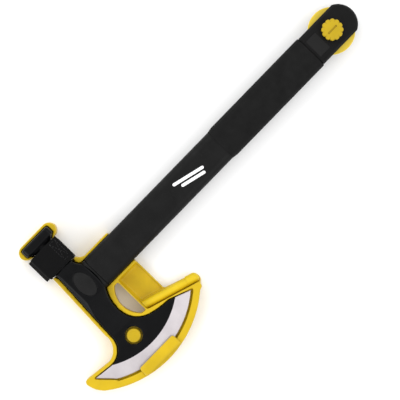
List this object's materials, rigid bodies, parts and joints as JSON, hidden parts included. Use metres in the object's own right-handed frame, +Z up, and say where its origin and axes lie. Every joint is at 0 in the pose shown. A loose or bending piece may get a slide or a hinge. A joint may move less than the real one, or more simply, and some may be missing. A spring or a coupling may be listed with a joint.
{
  "type": "fire axe",
  "caption": "Short rescue axe with hammer poll and bearded blade, lying in a moulded blade tray that a hook-and-loop strap closes; thumb screw and disc in the handle's end.",
  "frame": {"origin": "on the plane that the tray's back rests on, straight under the middle of the eye", "axes": "+X from the hammer to the cutting edge, +Y up the handle to its end, +Z up from the tray's back through the axe"},
  "size_m": [0.2228, 0.5484, 0.0442],
  "materials": {
    "coated_steel": "satin black coating, ground bright at the bevel",
    "zinc_steel": "satin",
    "brass": "satin",
    "core_composite": "matte",
    "black_nylon": "fine moulded grain",
    "black_rubber": "matte",
    "yellow_plastic": "semi-gloss",
    "yellow_rubber": "satin",
    "black_webbing": "woven",
    "hook_pile": "hook and loop",
    "white_print": "printed"
  },
  "bodies": {
    "sheath": {"sheath_tray": "yellow_plastic", "locating_boss": "yellow_plastic", "boss_screw": "zinc_steel", "heel_bead": "yellow_rubber", "heel_bead_cap": "yellow_rubber", "strap_anchor": "black_webbing", "strap_rivets": "zinc_steel", "strap_loop_pad": "hook_pile"},
    "axe": {"axe_head": "coated_steel", "core_tube": "core_composite", "core_wedge": "core_composite", "eye_pins": "zinc_steel", "eye_pad_front": "black_nylon", "eye_pad_rear": "black_nylon", "collar": "black_rubber", "shaft_sleeve": "black_nylon", "grip_sleeve": "black_rubber", "end_cap_front": "black_nylon", "end_cap_rear": "black_nylon", "cap_screws": "zinc_steel", "rear_nut": "black_nylon", "nut_insert": "brass"},
    "clamp_washer": {"front_washer": "zinc_steel"},
    "thumb_screw": {"thumb_knob": "yellow_plastic", "screw_stud": "zinc_steel"},
    "pommel_disc": {"pommel_disc": "yellow_plastic", "disc_bush": "brass"},
    "edge_tab": {"edge_tab": "yellow_rubber"},
    "strap_flap": {"strap_flap": "black_webbing", "strap_backing": "black_webbing", "strap_hook_pad": "hook_pile"}
  },
  "joints": [
    {"name": "axe_lift", "type": "slide", "parent": "sheath", "child": "axe", "axis": [0, 0, 1], "range_m": [0, 0.036]},
    {"name": "flap_open", "type": "hinge", "parent": "sheath", "child": "strap_flap", "pos_m": [-0.0498, 0.0207, 0.0372], "axis": [-1, 0, 0], "range_deg": [0, 180]},
    {"name": "tab_open", "type": "hinge", "parent": "sheath", "child": "edge_tab", "pos_m": [0.1323, 0.005, 0.02555], "axis": [0, 1, 0], "range_deg": [0, 180]},
    {"name": "washer_rise", "type": "slide", "parent": "axe", "child": "clamp_washer", "axis": [0, 0, 1], "range_m": [0, 0.005]},
    {"name": "thumb_turn", "type": "hinge", "parent": "clamp_washer", "child": "thumb_screw", "pos_m": [0, 0.4315, 0.035], "axis": [0, 0, 1], "range_deg": [0, 1440]},
    {"name": "disc_turn", "type": "hinge", "parent": "axe", "child": "pommel_disc", "pos_m": [0, 0.4315, 0.021], "axis": [0, 0, 1], "continuous": true}
  ],
  "couplings": [
    {"joint": "flap_open", "follows": "axe_lift", "rad_per_m": 87.2},
    {"joint": "tab_open", "follows": "axe_lift", "rad_per_m": 87.2},
    {"joint": "thumb_turn", "follows": "washer_rise", "rad_per_m": 5026.5}
  ]
}
